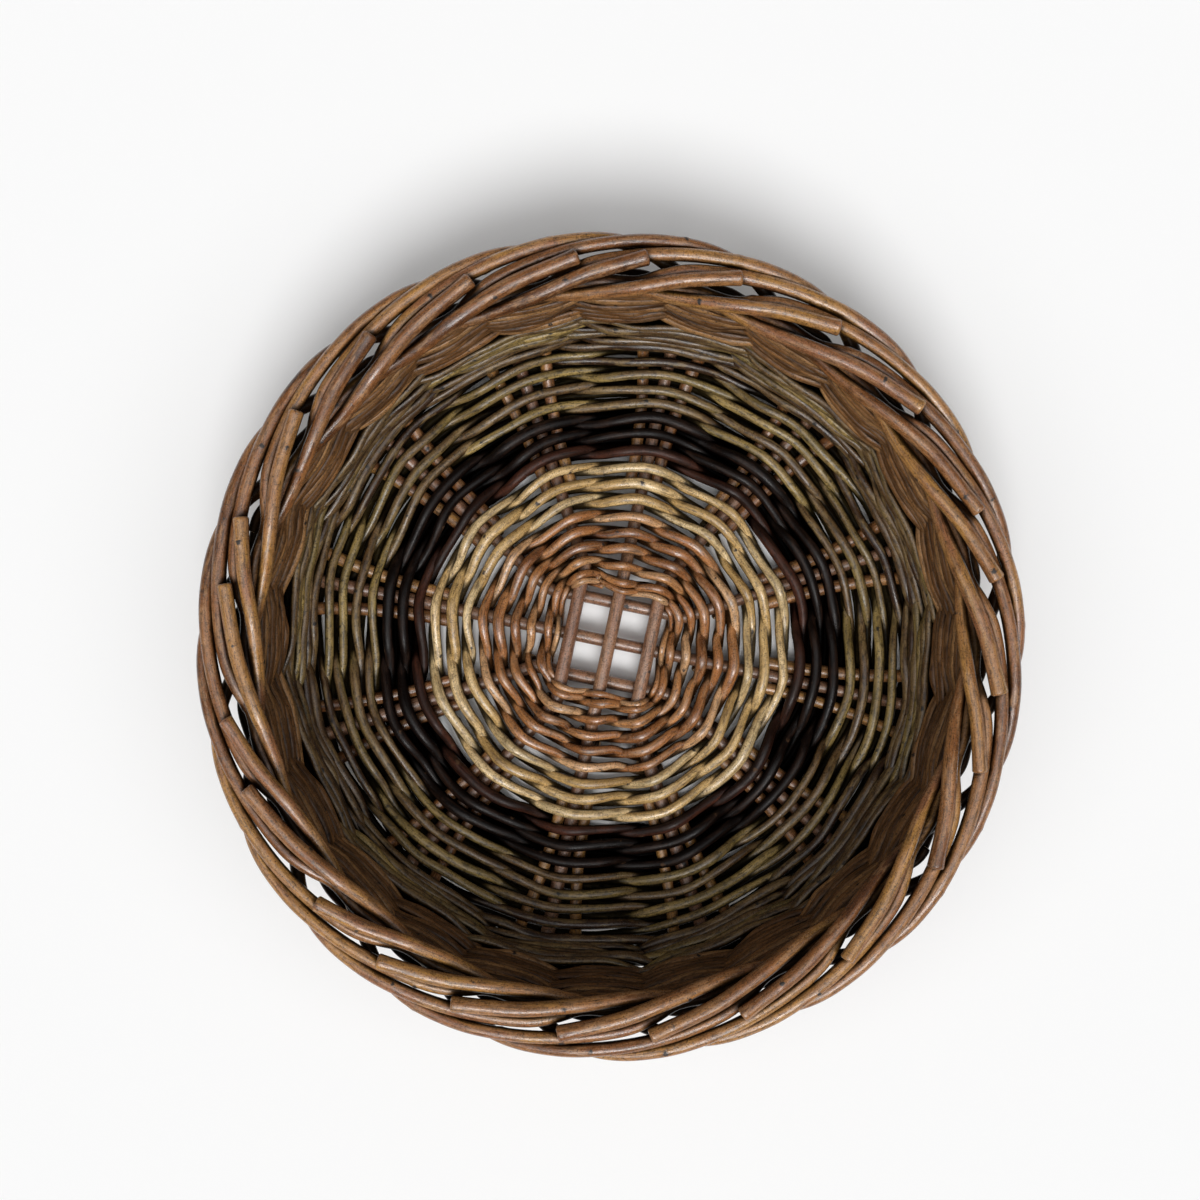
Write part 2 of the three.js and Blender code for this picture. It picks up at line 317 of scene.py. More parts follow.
# A slow random drift with about the given wave length and height
def wander(rng, position, wave_length, height):
    drift = np.zeros_like(position)
    for stretch in DRIFT_STRETCHES:
        drift = drift + np.sin(position * TURN / (wave_length * stretch) + rng.uniform(0, TURN))
    return height * drift / len(DRIFT_STRETCHES)


# Where buds sat on a rod: place along it, direction they face and size
def bud_places(rng, length, spacing):
    places = []
    at = spacing * rng.uniform(*FIRST_BUD)
    facing = rng.uniform(0, TURN)
    while at < length:
        places.append((at, facing, rng.uniform(*BUD_SIZES)))
        at += spacing * rng.uniform(*BUD_GAPS)
        facing += BUD_TURN + rng.normal(0, BUD_TURN_SPREAD)
    return places


# A spot on a rod that fades along it and round it
def spot(off_along, off_round, length, width):
    return np.exp(-((off_along / length) ** 2))[:, None] * np.exp(-((off_round / width) ** 2))


# How far the rings of a rod reach on each side, with its buds, and where the scars of these are
def ring_shape(rng, along, radius, turn, bud_spacing, bud_height):
    reach = radius[:, None] * (1 + OVALITY * np.cos(2 * turn + rng.uniform(0, TURN)))[None, :]
    scar = np.zeros_like(reach)
    for at, facing, size in bud_places(rng, along[-1], bud_spacing):
        aside = (turn - facing + math.pi) % TURN - math.pi
        reach = reach + bud_height * size * spot(along - at, aside, BUD_LENGTH, BUD_WIDTH)
        scar = np.maximum(scar, spot(along - at, aside, SCAR_LENGTH, SCAR_WIDTH) * min(size, 1))
    return reach, scar


# Directions across a route, carried along it without twisting
def carried_frames(route):
    tangent = np.gradient(route, axis=0)
    tangent /= np.linalg.norm(tangent, axis=1, keepdims=True)
    side = np.empty_like(route)
    side[0] = np.cross(tangent[0], SOME_WAY)
    side[0] /= np.linalg.norm(side[0])
    for i in range(1, len(route)):
        carried = side[i - 1] - tangent[i] * (tangent[i] @ side[i - 1])
        side[i] = carried / np.linalg.norm(carried)
    return tangent, side, np.cross(tangent, side)


# Faces of a closed tube: the ring and place where each one round it begins, those faces, and its two caps
def tube_faces(rings, sides):
    ring, place = np.meshgrid(np.arange(rings - 1), np.arange(sides), indexing="ij")
    following = (place + 1) % sides
    here = ring * sides
    beyond = here + sides
    quads = np.stack([here + place, here + following, beyond + following, beyond + place], axis=-1)
    around = np.arange(sides)
    beside = (around + 1) % sides
    last = (rings - 1) * sides
    centre = np.full(sides, rings * sides)
    start_cap = np.stack([beside, around, centre], axis=-1)
    end_cap = np.stack([last + around, last + beside, centre + 1], axis=-1)
    return ring.ravel(), place.ravel(), quads.reshape(-1, 4), np.vstack([start_cap, end_cap])


# Places on the map of the faces round a rod, which is laid out in strips of equal length
def strip_corners(rod, first, own, strips):
    sides = len(rod["turn"])
    own_length = rod["along"][-1] / own
    strip = np.minimum((rod["along"][rod["ring"]] / own_length).astype(int), own - 1)
    corners = []
    for step_along, step_round in ((0, 0), (0, 1), (1, 1), (1, 0)):
        across = STRIP_MARGIN + (1 - 2 * STRIP_MARGIN) * (rod["place"] + step_round) / sides
        u = (first + strip + across) / strips
        v = (rod["along"][rod["ring"] + step_along] - strip * own_length) / own_length
        corners.append(np.stack([u, CAP_ROOM + (MAP_TOP - CAP_ROOM) * v * STRIP_FILL], axis=-1))
    return np.stack(corners, axis=1).reshape(-1, 2)


# Places on the map of a rod's two cut ends
def cap_corners(rod, number, rods):
    ends = 2 * rods
    rim = np.stack([np.cos(rod["turn"]), np.sin(rod["turn"])], axis=-1)
    size = CAP_SIZE * np.array([min(1 / ends, CAP_ROOM), CAP_FLATNESS * CAP_ROOM])
    faces = []
    for end in range(2):
        middle = np.array([(2 * number + end + 0.5) / ends, CAP_HEIGHT * CAP_ROOM])
        here = middle + size * rim
        beside = np.roll(here, -1, axis=0)
        pair = (beside, here) if end == 0 else (here, beside)
        faces.append(np.stack([*pair, np.repeat(middle[None], len(rim), 0)], axis=1))
    return np.vstack(faces).reshape(-1, 2)


# Collects rods and makes one piece of them
class Bundle:
    def __init__(self):
        self.rods = []
        self.vertex_count = 0

    # One rod along a route, with a radius at every station, buds, and rounded cut ends
    def add(self, rng, route, radius, sides, tint, bud_spacing, bud_height, least_open=0):
        tangent, side, up = carried_frames(route)
        least_open = np.broadcast_to(least_open, len(route))
        beyond, left = np.array(END_ROUNDING).T
        before = route[0] - beyond[::-1, None] * tangent[0]
        after = route[-1] + beyond[:, None] * tangent[-1]
        route = np.vstack([before, route, after])
        radius = np.concatenate([left[::-1] * radius[0], radius, left * radius[-1]])
        ends = (len(left), len(left))
        side = np.pad(side, (ends, (0, 0)), "edge")
        up = np.pad(up, (ends, (0, 0)), "edge")
        least_open = np.pad(least_open, ends, "edge")
        along = np.concatenate([[0], np.cumsum(np.linalg.norm(np.diff(route, axis=0), axis=1))])
        turn = TURN * np.arange(sides) / sides
        reach, scar = ring_shape(rng, along, radius, turn, bud_spacing, bud_height)
        outward = np.cos(turn)[None, :, None] * side[:, None] + np.sin(turn)[None, :, None] * up[:, None]
        surface = (route[:, None] + reach[:, :, None] * outward).reshape(-1, 3)
        points = np.vstack([surface, route[:1], route[-1:]])
        core = [route[:, None] + share * reach[:, :, None] * outward for share in CORE_SHARES]
        down = along / MM + rng.uniform(0, GRAIN_RANGE)
        across = [reach * np.cos(turn) / MM, reach * np.sin(turn) / MM]
        grain = np.stack([*across, np.repeat(down[:, None], sides, 1)], axis=-1)
        ring, place, quads, caps = tube_faces(len(route), sides)
        self.rods.append({
            "points": points,
            "core": np.concatenate(core).reshape(-1, 3),
            "outward": np.vstack([outward.reshape(-1, 3), -tangent[:1], tangent[-1:]]),
            "grain": np.vstack([grain.reshape(-1, 3), [[0, 0, down[0]], [0, 0, down[-1]]]]),
            "tint": np.full(len(points), tint),
            "scar": np.concatenate([scar.ravel(), [0, 0]]),
            "least_open": np.concatenate([np.repeat(least_open, sides), least_open[[0, -1]]]),
            "quads": quads + self.vertex_count,
            "caps": caps + self.vertex_count,
            "ring": ring,
            "place": place,
            "along": along,
            "turn": turn,
            "girth": TURN * radius.mean(),
        })
        self.vertex_count += len(points)

    # A map on which each rod is slit open and laid out in strips, side by side, with its cut ends below
    def unrolled(self):
        total = sum(rod["along"][-1] for rod in self.rods)
        girth = sum(rod["girth"] for rod in self.rods) / len(self.rods)
        strip_length = math.sqrt(total * girth)
        strips_of = [math.ceil(rod["along"][-1] / strip_length) for rod in self.rods]
        corners = []
        first = 0
        for number, (rod, own) in enumerate(zip(self.rods, strips_of)):
            corners.append(strip_corners(rod, first, own, sum(strips_of)))
            corners.append(cap_corners(rod, number, len(self.rods)))
            first += own
        return np.vstack(corners)

    # The finished piece, in the place of a node of the frame
    def piece(self, name, node, bark, slot, crowding):
        mesh = bpy.data.meshes.new(name)
        points = np.vstack([rod["points"] for rod in self.rods])
        faces = []
        kinds = []
        for rod in self.rods:
            # How open each point is, which the bark turns into painted shade
            rod["open"] = np.maximum(crowding.openness(rod["points"], rod["outward"]), rod["least_open"])
            faces += rod["quads"].tolist() + rod["caps"].tolist()
            kinds += [0] * len(rod["quads"]) + [1] * len(rod["caps"])
        mesh.from_pydata(points.tolist(), [], faces)
        kinds = np.array(kinds)
        mesh.polygons.foreach_set("material_index", kinds)
        mesh.polygons.foreach_set("use_smooth", kinds == 0)
        layer = mesh.uv_layers.new(name="OFBake")
        layer.uv.foreach_set("vector", self.unrolled().astype(np.float32).ravel())
        for label in ("grain", "tint", "scar", "open"):
            values = np.concatenate([rod[label] for rod in self.rods]).astype(np.float32)
            kind, field = ("FLOAT_VECTOR", "vector") if label == "grain" else ("FLOAT", "value")
            mesh.attributes.new(label, kind, "POINT").data.foreach_set(field, values.ravel())
        mesh.materials.append(bark)
        mesh.materials.append(cut_wood)
        mesh.update()
        made = bpy.data.objects.new(name, mesh)
        bpy.context.scene.collection.objects.link(made)
        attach(made, "root")
        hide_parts(node)


# The space that is filled with rods, in cells, from which the shade painted between them is worked out
class Crowding:
    def __init__(self, bundles):
        solid = np.vstack([rod["core"] for rods in bundles for rod in rods.rods])
        margin = LOOK_START + (LOOKS + 2) * LOOK_STEP
        self.low = solid.min(axis=0) - margin
        cells = ((solid.max(axis=0) + margin - self.low) / CELL).astype(int) + 1
        self.filled = np.zeros(cells, np.float32)
        self.filled[tuple(((solid - self.low) / CELL).astype(int).T)] = 1
        for axis in range(3):
            self.filled = sum(np.roll(self.filled, step, axis) for step in (-1, 0, 1)) / 3

    # Share of the light from outside that would reach each place
    def openness(self, points, outward):
        side = np.cross(outward, SOME_WAY)
        side = side / np.linalg.norm(side, axis=1, keepdims=True)
        other = np.cross(outward, side)
        ways = [outward]
        for turn in TURN * np.arange(LOOK_WAYS) / LOOK_WAYS:
            leaning = math.cos(turn) * side + math.sin(turn) * other
            ways.append(math.cos(LOOK_LEAN) * outward + math.sin(LOOK_LEAN) * leaning)
        start = points + LOOK_START * outward - self.low
        light = np.zeros(len(points))
        for way in ways:
            left = np.ones(len(points))
            for look in range(1, LOOKS + 1):
                cell = ((start + look * LOOK_STEP * way) / CELL).astype(int)
                left = left * (1 - self.filled[tuple(cell.T)])
            light = light + left / len(ways)
        return light


# Colours are written as they are seen, and turned into light for the shaders
def colour(code):
    seen = [int(code[i : i + 2], 16) / 255 for i in (0, 2, 4)]
    return [c / 12.92 if c <= 0.04045 else ((c + 0.055) / 1.055) ** 2.4 for c in seen] + [1]


# A material's nodes, with short ways to add and join them
class Nodes:
    def __init__(self, name):
        self.material = bpy.data.materials.new(name)
        self.material.use_nodes = True
        self.tree = self.material.node_tree
        self.shader = self.tree.nodes["Principled BSDF"]

    def join(self, value, socket):
        if isinstance(value, bpy.types.NodeSocket):
            self.tree.links.new(value, socket)
        else:
            socket.default_value = value

    def read(self, attribute, output):
        node = self.tree.nodes.new("ShaderNodeAttribute")
        node.attribute_name = attribute
        return node.outputs[output]

    # Place on the straightened rod, in millimetres, stretched by so much across and along it
    def place(self, across, along):
        node = self.tree.nodes.new("ShaderNodeVectorMath")
        node.operation = "MULTIPLY"
        self.join(self.read("grain", "Vector"), node.inputs[0])
        node.inputs[1].default_value = (across, across, along)
        return node.outputs[0]

    # Noise on the straightened rod, with so many grains per millimetre across and along it
    def noise(self, across, along, detail=2.0, roughness=0.5):
        node = self.tree.nodes.new("ShaderNodeTexNoise")
        self.join(self.place(across, along), node.inputs["Vector"])
        node.inputs["Scale"].default_value = 1
        node.inputs["Detail"].default_value = detail
        node.inputs["Roughness"].default_value = roughness
        return node.outputs["Fac"]

    def ramp(self, value, stops):
        node = self.tree.nodes.new("ShaderNodeValToRGB")
        elements = node.color_ramp.elements
        while len(elements) < len(stops):
            elements.new(0.5)
        for element, (place, tone) in zip(elements, stops):
            element.position = place
            element.color = colour(tone) if isinstance(tone, str) else (tone, tone, tone, 1)
        self.join(value, node.inputs["Fac"])
        return node.outputs["Color"]

    def work_out(self, operation, a, b):
        node = self.tree.nodes.new("ShaderNodeMath")
        node.operation = operation
        self.join(a, node.inputs[0])
        self.join(b, node.inputs[1])
        return node.outputs[0]

    def plus(self, a, b):
        return self.work_out("ADD", a, b)

    def minus(self, a, b):
        return self.work_out("SUBTRACT", a, b)

    def times(self, a, b):
        return self.work_out("MULTIPLY", a, b)

    def larger(self, a, b):
        return self.work_out("MAXIMUM", a, b)

    # Noise less its middle value, at the given strength
    def swing(self, noise, strength):
        return self.times(self.minus(noise, 0.5), strength)

    def mix(self, share, under, over, blend="MIX"):
        node = self.tree.nodes.new("ShaderNodeMix")
        node.data_type = "RGBA"
        node.blend_type = blend
        self.join(share, node.inputs["Factor"])
        self.join(under, node.inputs[6])
        self.join(over, node.inputs[7])
        return node.outputs[2]

    def bump(self, height, strength, distance):
        node = self.tree.nodes.new("ShaderNodeBump")
        node.inputs["Strength"].default_value = strength
        node.inputs["Distance"].default_value = distance
        self.join(height, node.inputs["Height"])
        self.join(node.outputs["Normal"], self.shader.inputs["Normal"])


# Marks on bark, all in the colour of its pores: splits along the rod, cracks across it and the pores
def bark_marks(n):
    splits = n.ramp(n.noise(across=1.1, along=0.07, detail=3.0, roughness=0.65), [(0.6, 0.0), (0.65, 1.0)])
    cracks = n.ramp(n.noise(across=0.2, along=1.2, detail=2.0, roughness=0.7), [(0.64, 0.0), (0.7, 1.0)])
    pores = n.ramp(n.noise(across=1.1, along=1.4, detail=1.0), [(0.63, 0.0), (0.68, 1.0)])
    marks = n.larger(n.times(splits, 0.6), n.times(cracks, 0.6))
    return n.larger(marks, n.times(pores, 0.8))


# Ragged scars where buds sat
def bud_scars(n):
    ragged = n.times(n.noise(across=0.9, along=0.9, detail=3.0), 0.75)
    return n.ramp(n.minus(n.read("scar", "Fac"), ragged), [(0.0, 0.0), (0.25, 1.0)])


# Willow bark: a tone for each rod, slow patches, dark blotches, streaks along it, grit, marks and bud scars.
# Shade is painted on it where other rods crowd round and would keep light off, darkening its colour and its
# sheen.
def bark(name, tones, patch, pore, scar, roughness, streak=0.35, blotch=0.4, darkest_painted_shade=0.06, gloss=0.8):
    n = Nodes(name)
    slow = n.noise(across=0.12, along=0.025)
    base = n.ramp(n.plus(n.read("tint", "Fac"), n.swing(slow, 1.3)), tones)
    patches = n.ramp(n.noise(across=0.3, along=0.07, detail=4.0, roughness=0.65), [(0.5, 0.0), (0.6, 1.0)])
    base = n.mix(n.times(patches, 0.6), base, colour(patch))
    blotches = n.ramp(n.noise(across=0.5, along=0.25, detail=4.0, roughness=0.7), [(0.4, 1.0), (0.48, 0.0)])
    base = n.mix(n.times(blotches, blotch), base, colour(pore))
    streaks = n.noise(across=0.9, along=0.08, detail=4.0, roughness=0.7)
    base = n.mix(1.0, base, n.ramp(streaks, [(0.38, 1 - streak), (0.5, 0.9), (0.58, 1.0)]), "MULTIPLY")
    grit = n.noise(across=1.8, along=1.1, detail=3.0, roughness=0.75)
    base = n.mix(1.0, base, n.ramp(grit, [(0.36, 0.74), (0.5, 1.0), (0.64, 1.16)]), "MULTIPLY")
    marks = bark_marks(n)
    base = n.mix(marks, base, colour(pore))
    scars = bud_scars(n)
    base = n.mix(scars, base, colour(scar))
    # Painted shade: the colour is darkened where the openness is low
    half = HALF_LIGHT + (1 - HALF_LIGHT) * darkest_painted_shade
    light = n.ramp(n.read("open", "Fac"), [(DARK_BELOW, darkest_painted_shade), (HALF_OPEN, half), (BRIGHT_ABOVE, 1.0)])
    n.join(n.mix(1.0, base, light, "MULTIPLY"), n.shader.inputs["Base Color"])
    dull = n.plus(n.times(patches, 0.12), n.times(scars, 0.3))
    dull = n.plus(dull, n.swing(streaks, -0.5))
    dull = n.plus(dull, n.swing(grit, 0.5))
    n.join(n.plus(dull, roughness), n.shader.inputs["Roughness"])
    # The painted shade also dulls the sheen
    n.join(n.times(light, gloss), n.shader.inputs["Specular IOR Level"])
    relief = n.plus(streaks, n.times(grit, 0.4))
    n.bump(n.minus(relief, n.times(marks, 0.4)), strength=0.45, distance=0.3 * MM)
    return n.material


# Cut willow: a dark pith, pale rings and a weathered edge
def wood(name):
    n = Nodes(name)
    length = n.tree.nodes.new("ShaderNodeVectorMath")
    length.operation = "LENGTH"
    n.join(n.place(across=1, along=0), length.inputs[0])
    from_pith = n.times(length.outputs["Value"], 0.33)
    worn = n.swing(n.noise(across=1.2, along=1.2, detail=3.0), 0.5)
    rings = n.ramp(
        n.plus(from_pith, worn),
        [(0.05, "4a3422"), (0.22, "b1906a"), (0.5, "c4a47b"), (0.7, "a98763"), (0.92, "7a5a3e")],
    )
    n.join(rings, n.shader.inputs["Base Color"])
    n.shader.inputs["Roughness"].default_value = 0.75
    n.bump(n.noise(across=3.0, along=3.0, detail=3.0), strength=0.4, distance=0.2 * MM)
    return n.material


cut_wood = wood("cut_wood")
barks = {
    "stick": bark(
        "stick_bark",
        [(0.0, "5f3d2c"), (0.4, "885e46"), (0.75, "9d7155"), (1.0, "ad8262")],
        patch="a07c62", pore="24160f", scar="1c110b", roughness=0.24, darkest_painted_shade=0.6,
    ),
    "stake": bark(
        "stake_bark",
        [(0.0, "5f391e"), (0.3, "905d35"), (0.55, "a67446"), (0.8, "b58447"), (1.0, "9a6744")],
        patch="ae8258", pore="2a190e", scar="1c110a", roughness=0.22, streak=0.45, gloss=0.75,
    ),
    "brown": bark(
        "brown_bark",
        [(0.0, "7a4a28"), (0.4, "aa6f40"), (0.75, "c48a56"), (1.0, "d6a87a")],
        patch="ab8058", pore="26160b", scar="1f1209", roughness=0.24, streak=0.45, darkest_painted_shade=0.12, gloss=1.0,
    ),
    "straw": bark(
        "straw_bark",
        [(0.0, "94703c"), (0.35, "cca76b"), (0.7, "edcf9c"), (1.0, "cbb080")],
        patch="b8945c", pore="4a3218", scar="24160c", roughness=0.26, streak=0.42, blotch=0.5, darkest_painted_shade=0.1,
    ),
    "dark": bark(
        "dark_bark",
        [(0.0, "0e0705"), (0.5, "190d08"), (0.8, "281610"), (1.0, "4a2a1e")],
        patch="301e14", pore="050303", scar="4b3523", roughness=0.34, gloss=0.2,
    ),
    "olive": bark(
        "olive_bark",
        [(0.0, "3a2414"), (0.25, "5c4327"), (0.5, "715839"), (0.75, "7c683a"), (1.0, "ae9358")],
        patch="90764a", pore="120b06", scar="0f0905", roughness=0.3, streak=0.45, blotch=0.6, gloss=0.6,
    ),
    "upper": bark(
        "upper_bark",
        [(0.0, "3c2411"), (0.4, "694626"), (0.75, "8d6239"), (1.0, "a77c4f")],
        patch="886543", pore="1c1008", scar="1c1009", roughness=0.34, gloss=0.4,
    ),
}

# Every bundle of rods, with its piece's name, the node that it replaces and its bark
bundles = []


# Where a stick of the grid stops running straight
def straight_end(column):
    if column == 0:
        return GRID_SPACING / math.tan(end_angle)
    return column * GRID_SPACING / math.sin(column * end_angle)


# How far a stick lies above or below the middle of the base, to clear those laid the other way
def stick_lift(along, column):
    return crossing_lift * (1 - smoothstep((along / straight_end(column) - 1) / LIFT_RUN))


def turned(points, angle):
    c = math.cos(angle)
    s = math.sin(angle)
    return points @ np.array([[c, s, 0], [-s, c, 0], [0, 0, 1]])


# One stick, straight across the grid and then turning outwards like a spoke at both ends
def base_stick(name, number, direction, column, level):
    rng = np.random.default_rng(STICK_SEED + number)
    turning = straight_end(column)
    along = np.concatenate([
        np.linspace(turning, (1 + LIFT_RUN) * turning, TURNING_STATIONS),
        np.linspace(straw_start, dark_start, BASE_STATIONS),
        np.linspace(olive_start, stick_end, BEND_STATIONS),
    ])
    outward = on_basket(along, column * end_angle, level * stick_lift(along, column))
    back = (outward * (-1, 1, 1))[::-1]
    across = np.linspace(-STRAIGHT_SHARE, STRAIGHT_SHARE, ACROSS_STATIONS) * outward[0][0]
    side = np.full(ACROSS_STATIONS, column * GRID_SPACING)
    height = profile(np.hypot(across, side))[1] + level * crossing_lift
    points = np.vstack([back, np.stack([across, side, height], axis=-1), outward])
    route = turned(smooth_route(points, STATION_STEP), direction)
    share = np.linspace(-1, 1, len(route))
    length = np.arange(len(route)) * STATION_STEP
    swelling = wander(rng, length, STICK_WAVE, STICK_SWELL)
    radius = STICK_DIAMETER / 2 * (STICK_THICKNESS - STICK_TAPER * share + swelling)
    tint = rng.uniform(*STICK_TINTS)
    rods = Bundle()
    rods.add(rng, route, radius, ROD_SIDES, tint, STICK_BUD_SPACING, STICK_BUD_HEIGHT)
    bundles.append((rods, f"{name}_rod", name, "stick"))


# The tail of a stake, beside a stick at first and then spreading away from it
def stake_tail(stick_angle, hand):
    spread = profile(upper_start)[0] * stake_angle / 2
    along = np.linspace(stake_start, upper_start, TAIL_STATIONS)
    share = (along - stake_start) / tail_length
    aside = beside_stick + (spread - beside_stick) * share**2
    return on_basket(along, stick_angle + hand * aside / profile(along)[0], 0)


# The run of a stake round the border, to its cut end
def border_run(rng, rim_angle):
    top_radius, top_height, _ = profile(weave_end + border_pitch)
    spaces, out, up = np.array(BORDER_ROUTE).T
    pressed = smoothstep(spaces / PACKING_RUN) * (1 - BORDER_PACKING)
    out = out + pressed * (out.max() - out)
    butt = (spaces - BUTT_STARTS) * rng.uniform(*BUTT_LENGTHS)
    spaces = np.where(spaces > BUTT_STARTS, BUTT_STARTS + butt, spaces)
    loose = np.clip((spaces - LOOSE_STARTS) / LOOSE_RUN, 0, 1)
    out = out + loose * wander(rng, spaces, BORDER_WAVE, STRAY_OUT)
    up = up + loose * wander(rng, spaces, BORDER_WAVE, STRAY_UP)
    radius = top_radius + out * border_pitch
    angle = rim_angle - spaces * stake_angle
    return np.stack([radius * np.cos(angle), radius * np.sin(angle), top_height + up * border_pitch], axis=-1)


# One stake: a tail beside a stick, the rise up the wall, then its run round the border to a thick cut end
def stake(name, number):
    rng = np.random.default_rng(STAKE_SEED + number)
    stick_angle = GRID_TURN + (number // 2 - outer_column) * end_angle
    hand = -1 if number % 2 == 0 else 1
    rim_angle = stick_angle + hand * stake_angle / 2
    tail = stake_tail(stick_angle, hand)
    wall = on_basket(np.linspace(upper_start, weave_end, WALL_STATIONS)[1:], rim_angle, 0)
    route = smooth_route(np.vstack([tail, wall, border_run(rng, rim_angle)]), STATION_STEP)
    share = np.linspace(0, 1, len(route))
    length = share * (len(route) - 1) * STATION_STEP
    thick = STAKE_DIAMETER / 2 * rng.uniform(*STAKE_SPREAD)
    swelling = wander(rng, length, STAKE_WAVE, STAKE_SWELL)
    flare = BUTT_FLARE * np.exp(-((length[-1] - length) / BUTT_FLARE_RUN))
    radius = thick * (STAKE_THICKNESS + STAKE_TAPER * share + swelling) * (1 + flare)
    # The tail gets less painted shade, up to its last part before the wall
    past_clear = (length - TAIL_CLEAR * tail_length) / ((1 - TAIL_CLEAR) * tail_length)
    least_open = TAIL_OPEN * (1 - smoothstep(past_clear))
    tint = rng.uniform(*STAKE_TINTS)
    rods = Bundle()
    rods.add(rng, route, radius, ROD_SIDES, tint, STAKE_BUD_SPACING, STAKE_BUD_HEIGHT, least_open)
    bundles.append((rods, f"{name}_rod", name, "stake"))


# Weaving low down, where the spokes are sticks or groups of three rods, and high up round single stakes
base_weaving = {
    "spokes": STICK_ENDS,
    "first_angle": GRID_TURN - outer_column * end_angle,
    "spoke": STICK_DIAMETER,
    "pitch": base_pitch,
}
upper_weaving = {
    "spokes": STAKES,
    "first_angle": GRID_TURN - outer_column * end_angle - stake_angle / 2,
    "spoke": STAKE_DIAMETER - 2 * WALL_PRESS,
    "pitch": upper_pitch,
}


# Lift of the spokes above or below the middle of the base, which rows near the grid follow. Spokes are
# counted from the first one.
def spoke_lift(along, spoke):
    below = np.floor(spoke).astype(int)
    share = smoothstep(spoke - below)
    lift = np.zeros_like(spoke)
    for whole, weight in ((below, 1 - share), (below + 1, share)):
        for column in range(GRID_STICKS):
            here = whole % GRID_STICKS == column
            level = np.where((whole // GRID_STICKS) % 2 == 0, -1, 1)
            lift = lift + here * weight * level * stick_lift(along, column - outer_column)
    return lift


# Spokes passed at each angle. Inside the grid the outer sticks still run straight, further apart than the
# spokes that they turn into.
def spokes_passed(angle, along, weave):
    even = (angle - weave["first_angle"]) / (TURN / weave["spokes"])
    if along >= straight_end(outer_column) or weave is not base_weaving:
        return even
    corner = math.asin(outer_stick / along)
    quarter = (even - outer_column) / GRID_STICKS
    side = np.round(quarter)
    off = (quarter - side) * TURN / 4
    places = [-TURN / 4 + corner, -corner, 0, corner, TURN / 4 - corner]
    return side * GRID_STICKS + outer_column + np.interp(off, places, [-2, -1, 0, 1, 2])


# How far the rows stray from their places. Neighbouring rows stray together, so they stay close.
def strayed(angle, along, height):
    waves = [np.sin(times * angle + along / run + start) for times, run, start in STRAY_WAVES]
    return height * sum(waves) / len(waves)


# A wave that runs straight from side to side, with rounded turns
def zigzag(swing):
    return np.arcsin(BEND_SHARPNESS * np.sin(swing)) / math.asin(BEND_SHARPNESS)


# How far a rod runs inside the circle of its row, because it is drawn straight from spoke to spoke
def drawn_in(angle, radius, weave, style):
    spoke_angle = TURN / weave["spokes"]
    off_middle = np.abs((angle - weave["first_angle"]) / spoke_angle % 1 - 0.5)
    off_middle = 0.5 - np.hypot(0.5 - off_middle, CORNER_ROUNDING) + CORNER_ROUNDING
    taut = 1 - math.cos(spoke_angle / 2) / np.cos(off_middle * spoke_angle)
    return radius * taut * style["tautness"]


# A lift that keeps a rod at this place out of the floor
def off_floor(place, lift, thick):
    return np.maximum(lift, FLOOR_ROOM * thick - profile(place)[1])


def weaver_tint(rng, style):
    return np.clip(style["tint"] + style["tint_spread"] * rng.normal(), 0, 1)


# One rod of a twined pair. It starts and ends outside the spoke with the given number, where the other rod
# covers it.
def twined_rod(rods, rng, row_along, squareness, weave, style, first):
    radius, _, slope = profile(row_along)
    thick = style["diameter"] / 2 * (1 + WALL_SWELL * min(slope / LOWER_BEND_SLOPE, 1))
    start = weave["first_angle"] + first * (TURN / weave["spokes"])
    overlap = STRAND_OVERLAP / radius
    angle = np.linspace(start - overlap, start + TURN + overlap, int(TURN * radius / ROW_STEP))
    length = (angle - angle[0]) * radius
    bulge = squareness * (1 - np.cos(4 * (angle - GRID_TURN))) / 2
    spoke = spokes_passed(angle, row_along * (1 + CORNER_REACH * squareness), weave)
    uneven = wander(rng, angle * radius, UNEVEN_WAVE, style["uneven"])
    swing = (spoke + uneven - first) * math.pi + math.pi
    inside = np.tanh(style["flatness"] * zigzag(swing + math.pi / 2)) / math.tanh(style["flatness"])
    lean = -style["lean"] * thick * zigzag(swing)
    inward = drawn_in(angle, radius, weave, style)
    drift = strayed(angle, row_along, style["drift"]) + wander(rng, length, LOOSE_WAVE, style["loose"])
    stagger = STAGGER * thick * np.cos(swing)
    place = row_along * (1 + bulge) + lean + stagger - inward * np.cos(slope) + drift
    reach = (weave["spoke"] + style["diameter"]) / 2
    lift = reach * inside + style["twist"] * thick * np.sin(swing) + inward * np.sin(slope)
    lift = lift + wander(rng, length, LIFT_WAVE, LIFT_SHARE * style["loose"])
    if weave is base_weaving:
        lift = lift + spoke_lift(place, spoke)
    lift = off_floor(place, lift, thick)
    # Its two ends lie side by side where they meet
    ending = smoothstep((angle - (start + TURN - END_RUN * overlap)) / (END_RUN * overlap))
    place = place + END_ASIDE * thick * ending
    route = respaced(on_basket(place, angle, lift), STATION_STEP)
    share = np.linspace(0, 1, len(route))
    swelling = wander(rng, share * length[-1], SWELL_WAVE, WEAVER_SWELL)
    pinched = np.interp(share, np.linspace(0, 1, len(swing)), style["pinch"] * np.sin(swing) ** 2)
    grown = WEAVER_BUTT - WEAVER_TAPER * share + swelling - pinched
    girth = thick * rng.uniform(*WEAVER_SPREAD) * grown
    tint = weaver_tint(rng, style)
    rods.add(rng, route, girth, WEAVER_SIDES, tint, style["bud_spacing"], style["bud_height"])


